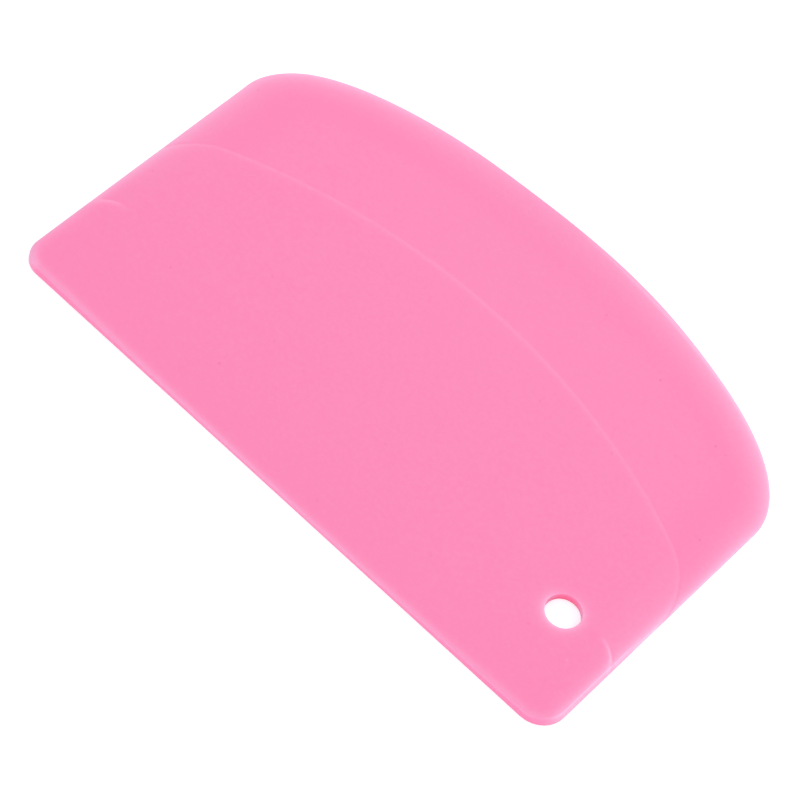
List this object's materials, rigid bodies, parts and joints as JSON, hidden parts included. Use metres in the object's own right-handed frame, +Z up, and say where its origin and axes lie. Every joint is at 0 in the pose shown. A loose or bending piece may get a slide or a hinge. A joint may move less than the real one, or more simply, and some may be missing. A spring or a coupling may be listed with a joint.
{
  "type": "dough scraper",
  "caption": "Thin D-shaped plastic dough scraper with a straight back edge, a curved scraping edge, a dished face that steps down to the blade, and a hang hole in one back corner.",
  "frame": {"origin": "under the middle of the plate, at the centre of the bottom of its bounding box, on the flat underside", "axes": "+X along the straight back edge towards the corner with the hang hole, +Y from the back edge towards the curved scraping edge, +Z up out of the dished face"},
  "size_m": [0.12, 0.081, 0.002],
  "materials": {
    "pink_plastic": "satin moulded surface, slightly translucent, so thin edges glow paler"
  },
  "bodies": {
    "root": {"scraper_moulding": "pink_plastic"}
  },
  "joints": []
}
